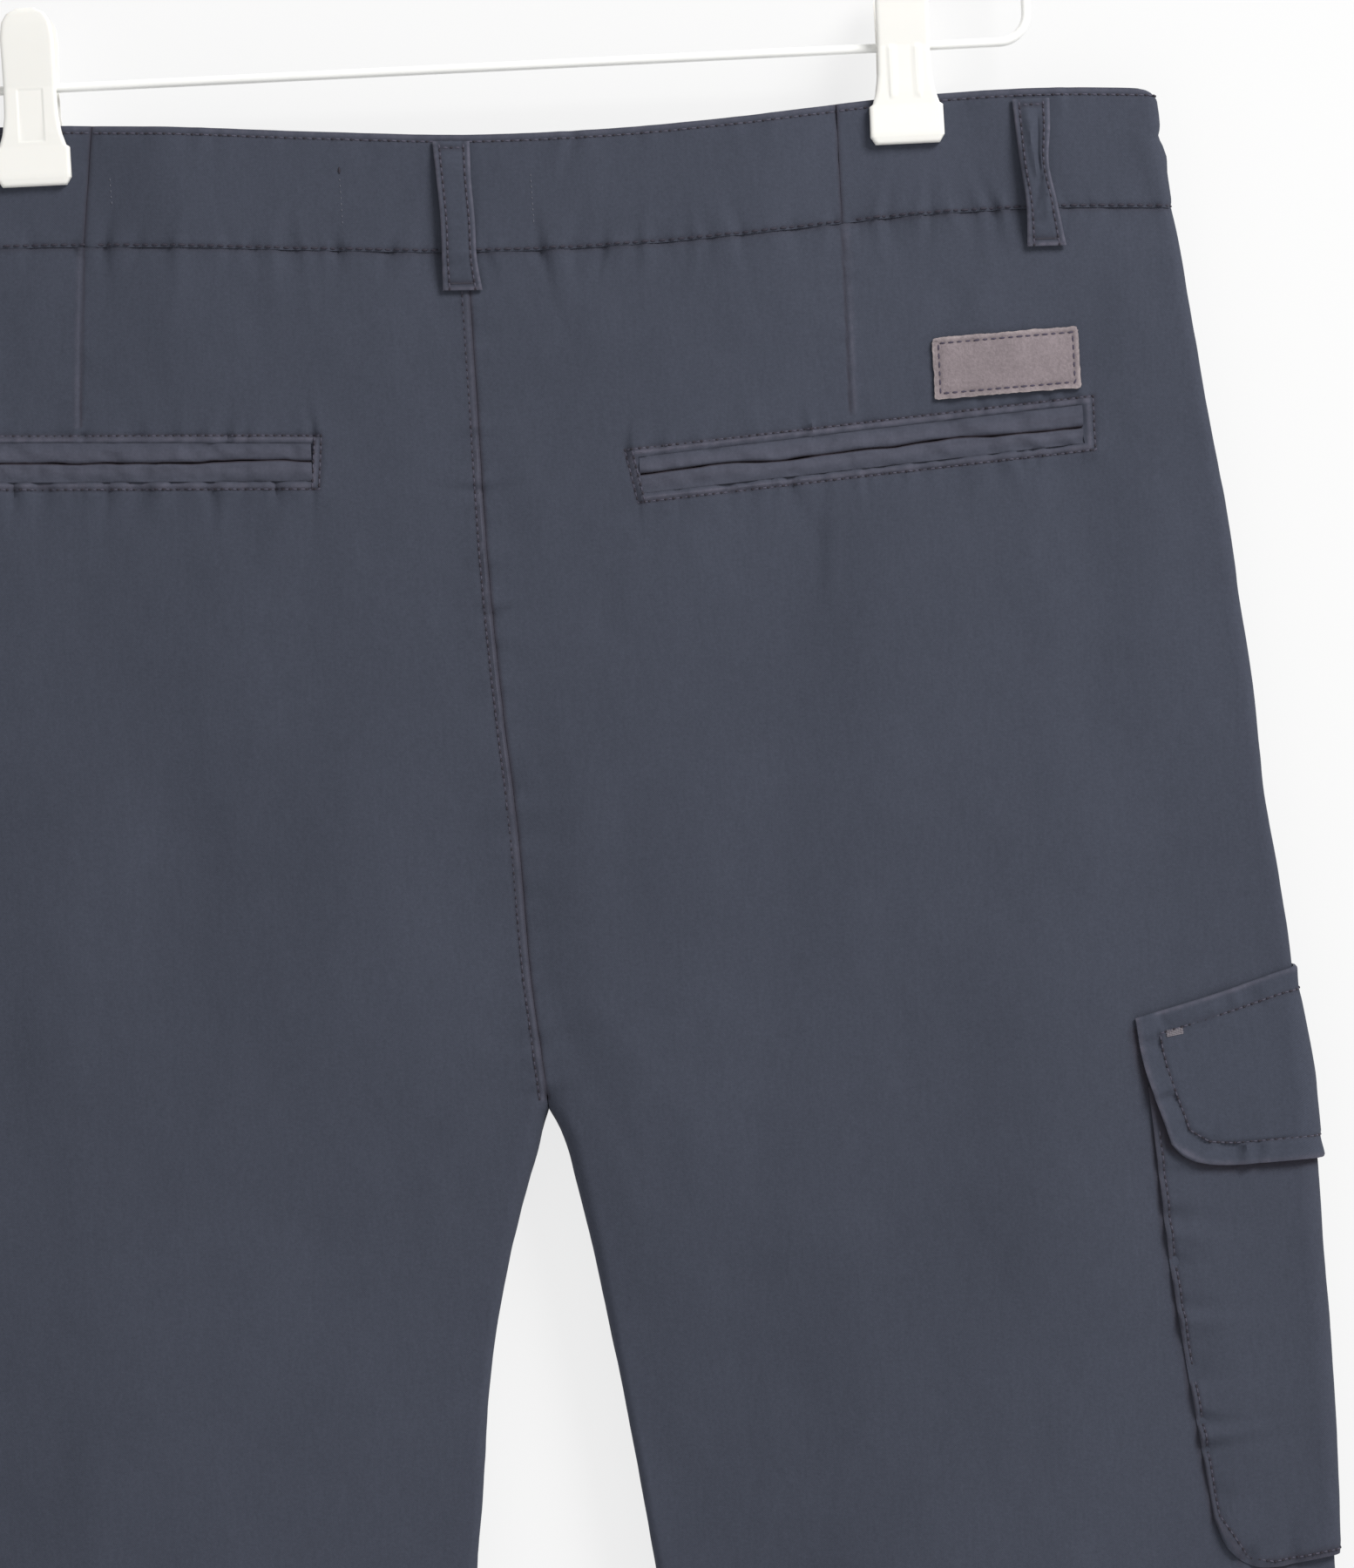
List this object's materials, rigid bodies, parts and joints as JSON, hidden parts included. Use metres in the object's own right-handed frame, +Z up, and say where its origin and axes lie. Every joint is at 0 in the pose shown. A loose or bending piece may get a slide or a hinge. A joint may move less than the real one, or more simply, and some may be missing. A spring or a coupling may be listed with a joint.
{
  "type": "cargo shorts on a clip hanger",
  "caption": "Cargo shorts hanging flat from a wire hanger by two clips, with welt back pockets, belt loops and flapped side pockets.",
  "frame": {"origin": "inside top of the hanger's hook, where it sits on a rail", "axes": "+Z up, -Y towards a viewer who sees the garment's back, +X the wearer's right"},
  "size_m": [0.531, 0.0297, 0.7448],
  "materials": {
    "twill": "washed slate blue cotton twill, matte",
    "flap_twill": "washed slate blue cotton twill, matte, a little lighter",
    "suede": "mauve taupe suede, matte",
    "clip_plastic": "white moulded plastic, satin",
    "wire_coating": "white coated steel wire, satin",
    "button": "slate blue button, satin"
  },
  "bodies": {
    "root": {"back_panel_left": "twill", "back_panel_right": "twill", "front_panel_left": "twill", "front_panel_right": "twill", "waistband_centre": "twill", "waistband_left": "twill", "waistband_right": "twill", "loop_back_centre": "twill", "loop_back_left": "twill", "loop_back_right": "twill", "loop_front_left": "twill", "loop_front_right": "twill", "welt_upper_left": "twill", "welt_lower_left": "twill", "welt_upper_right": "twill", "welt_lower_right": "twill", "cargo_pouch_left": "twill", "cargo_pouch_right": "twill", "cargo_flap_left": "flap_twill", "cargo_flap_right": "flap_twill", "back_patch": "suede", "waist_button": "button", "hanger_frame": "wire_coating", "hanger_hook": "wire_coating", "hanger_collar": "clip_plastic", "clip_lever_back_left": "clip_plastic", "clip_lever_back_right": "clip_plastic", "clip_lever_front_left": "clip_plastic", "clip_lever_front_right": "clip_plastic", "clip_sleeve_left": "clip_plastic", "clip_sleeve_right": "clip_plastic"}
  },
  "joints": []
}
